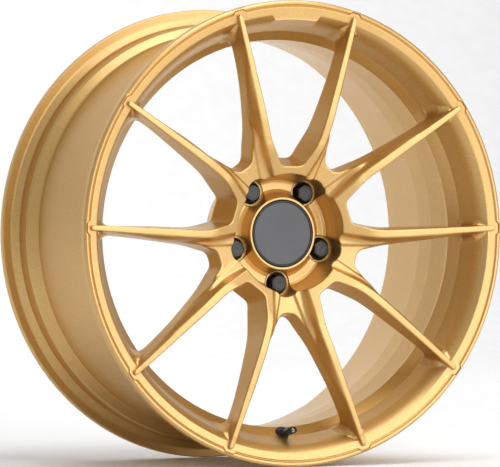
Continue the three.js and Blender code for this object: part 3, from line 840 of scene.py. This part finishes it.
def build_valve():
    angles = np.arange(VALVE_SIDES) / VALVE_SIDES * 2 * math.pi
    rows = [
        (2.75, -12.0), (7.3, -12.0), (7.6, -11.7), (7.6, -9.9),
        (7.3, -9.6), (5.2, -9.4), (4.9, -9.2), (4.9, -1.0)]
    radii, heights = threaded(4.9, -0.8, 8.0, 1.0, 0.4, angles)
    rows += list(zip(radii, heights))
    rows += [(4.7, 8.1), (4.1, 8.7), (3.95, 9.0), (3.95, 19.0), (4.1, 19.4)]
    radii, heights = threaded(4.1, 19.6, 30.6, 0.8, 0.45, angles)
    rows += list(zip(radii, heights))
    rows += [(3.9, 30.8), (3.65, 31.3), (3.5, 31.5), (3.0, 31.5), (2.75, 31.3), (2.75, 20.0), (2.75, 0.0)]
    stem = mesh_object("inflation_stem", *stem_rows(rows), BLACK_STEEL, sharp=35)
    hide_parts("valve_stem")

    off = (angles + math.pi / 6) % (math.pi / 3) - math.pi / 6
    hexagon = 6.9 * math.cos(math.pi / 6) / np.cos(off)
    hexagon = np.minimum(hexagon, 6.72)
    rows = [
        (5.2, 1.0), (7.1, 1.0), (7.4, 1.3), (7.4, 2.1), (7.1, 2.4),
        (hexagon + 0.12, 2.45), (hexagon, 2.7), (hexagon, 5.4)]
    rows += [(np.minimum(hexagon, 6.0 + (6.4 - h) * 1.732), h) for h in (5.7, 5.95, 6.15, 6.3)]
    rows += [(5.9, 6.4), (5.5, 6.4), (5.2, 6.1)]
    nut = mesh_object("clamp_nut", *stem_rows(rows), BLACK_STEEL, sharp=32)
    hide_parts("valve_nut")

    rows = [
        (5.2, -0.55), (5.35, -0.7), (7.7, -0.7), (7.9, -0.5),
        (7.9, 0.5), (7.7, 0.7), (5.35, 0.7), (5.2, 0.55)]
    washer = mesh_object("clamp_washer", *stem_rows(rows), BLACK_STEEL)
    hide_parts("valve_washer")

    rows = [
        (5.2, -9.2), (8.3, -9.2), (8.6, -8.8), (8.6, -7.3), (8.3, -6.9),
        (5.9, -6.7), (5.4, -6.3), (5.4, -1.6), (5.2, -1.6)]
    grommet = mesh_object("clamp_grommet", *stem_rows(rows), RUBBER)
    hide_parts("valve_grommet")

    rows = [
        (1.15, 12.0), (2.2, 12.0), (2.45, 12.4), (2.45, 16.0), (2.2, 16.3), (2.2, 17.4),
        (2.45, 17.8), (2.45, 28.2), (2.2, 28.5), (1.3, 28.5), (1.15, 28.3)]
    core = mesh_object("core_body", *stem_rows(rows), BRASS)
    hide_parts("valve_core")
    for piece in (stem, nut, washer, grommet, core):
        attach(piece, "wheel")

    rows = [(0.02, 7.6), (0.6, 7.6), (0.85, 7.9), (0.85, 29.6), (0.7, 30.3), (0.45, 30.55), (0.02, 30.6)]
    parts = stem_rows(rows, rod=True)
    pin = mesh_object("core_plunger", *parts, BRIGHT_STEEL)
    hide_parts("valve_pin")
    rows = [(1.15, 9.4), (2.1, 9.4), (2.3, 9.7), (2.3, 11.4), (2.1, 11.7), (1.15, 11.7)]
    seal = mesh_object("core_seal", *stem_rows(rows), RUBBER)
    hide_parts("valve_seal")
    for piece in (pin, seal):
        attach(piece, "core_pin")


# ---------------------------------------------------------------- pieces
face_pieces = build_face()
rim = build_rim()
for piece in face_pieces + [rim]:
    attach(piece, "wheel")
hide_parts("rim_barrel")
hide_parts("hub_centre")
for i in range(V_COUNT):
    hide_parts(f"spoke_{i + 1}_left", f"spoke_{i + 1}_right")

build_bolts()
build_cap()
build_valve()

# ---------------------------------------------------------------- camera, floor and lights
AZIMUTH = math.radians(-26.3855)
CAMERA_DISTANCE = 17.7285 * 258.8 * MM
CAMERA_LENS = 297.87
CAMERA_SIDE = -0.2016 * 258.8 * MM


def add_camera():
    back = Vector((math.sin(AZIMUTH), -math.cos(AZIMUTH), 0))
    right = Vector((math.cos(AZIMUTH), math.sin(AZIMUTH), 0))
    data = bpy.data.cameras.new("camera")
    data.lens = CAMERA_LENS
    data.sensor_width = 36.0
    data.clip_end = 60.0
    camera = bpy.data.objects.new("camera", data)
    bpy.context.scene.collection.objects.link(camera)
    camera.location = Vector((0, LIP * MM, 0)) + back * CAMERA_DISTANCE + right * CAMERA_SIDE
    camera.rotation_mode = "QUATERNION"
    camera.rotation_quaternion = (-back).to_track_quat("-Z", "Y")
    bpy.context.scene.camera = camera


def add_floor():
    """A pale floor under the wheel that curves up into a backdrop far behind it."""
    base = -258.8 * MM - 0.0005
    run = [(-6.0, base), (3.0, base)]
    run += [(3.0 + 2.0 * math.sin(a), base + 2.0 - 2.0 * math.cos(a)) for a in np.linspace(0.1, 1.57, 14)]
    run.append((5.0, 6.0))
    points, faces = [], []
    for x in (-7.0, 7.0):
        points.extend((x / MM, y / MM, z / MM) for y, z in run)
    count = len(run)
    for k in range(count - 1):
        faces.append((k, k + 1, count + k + 1, count + k))
    mesh = bpy.data.meshes.new("floor")
    mesh.from_pydata((np.array(points) * MM).tolist(), [], faces)
    mesh.materials.append(FLOOR)
    for polygon in mesh.polygons:
        polygon.use_smooth = True
    floor = bpy.data.objects.new("floor", mesh)
    bpy.context.scene.collection.objects.link(floor)


def add_light(name, place, aim, size, power, size_y=None):
    data = bpy.data.lights.new(name, "AREA")
    data.shape = "RECTANGLE"
    data.size = size
    data.size_y = size_y or size
    data.energy = power
    light = bpy.data.objects.new(name, data)
    bpy.context.scene.collection.objects.link(light)
    light.location = place
    light.rotation_mode = "QUATERNION"
    light.rotation_quaternion = (Vector(aim) - Vector(place)).to_track_quat("-Z", "Y")
    return light


def add_studio():
    world = bpy.data.worlds.new("studio")
    world.use_nodes = True
    background = world.node_tree.nodes["Background"]
    background.inputs["Color"].default_value = (1.0, 1.0, 1.0, 1.0)
    background.inputs["Strength"].default_value = 0.5
    bpy.context.scene.world = world
    add_light("front", (1.35, -3.3, 0.9), (0, 0, 0), 4.4, 106, 3.4)
    add_light("above", (0.4, -1.2, 2.6), (0.3, -0.7, 0), 2.4, 42, 1.6)
    add_light("backdrop", (0.0, 2.0, 3.0), (0.0, 5.0, 0.4), 5.0, 72, 1.0)
    scene = bpy.context.scene
    scene.view_settings.view_transform = "Standard"
    scene.view_settings.look = "None"


add_camera()
add_floor()
add_studio()
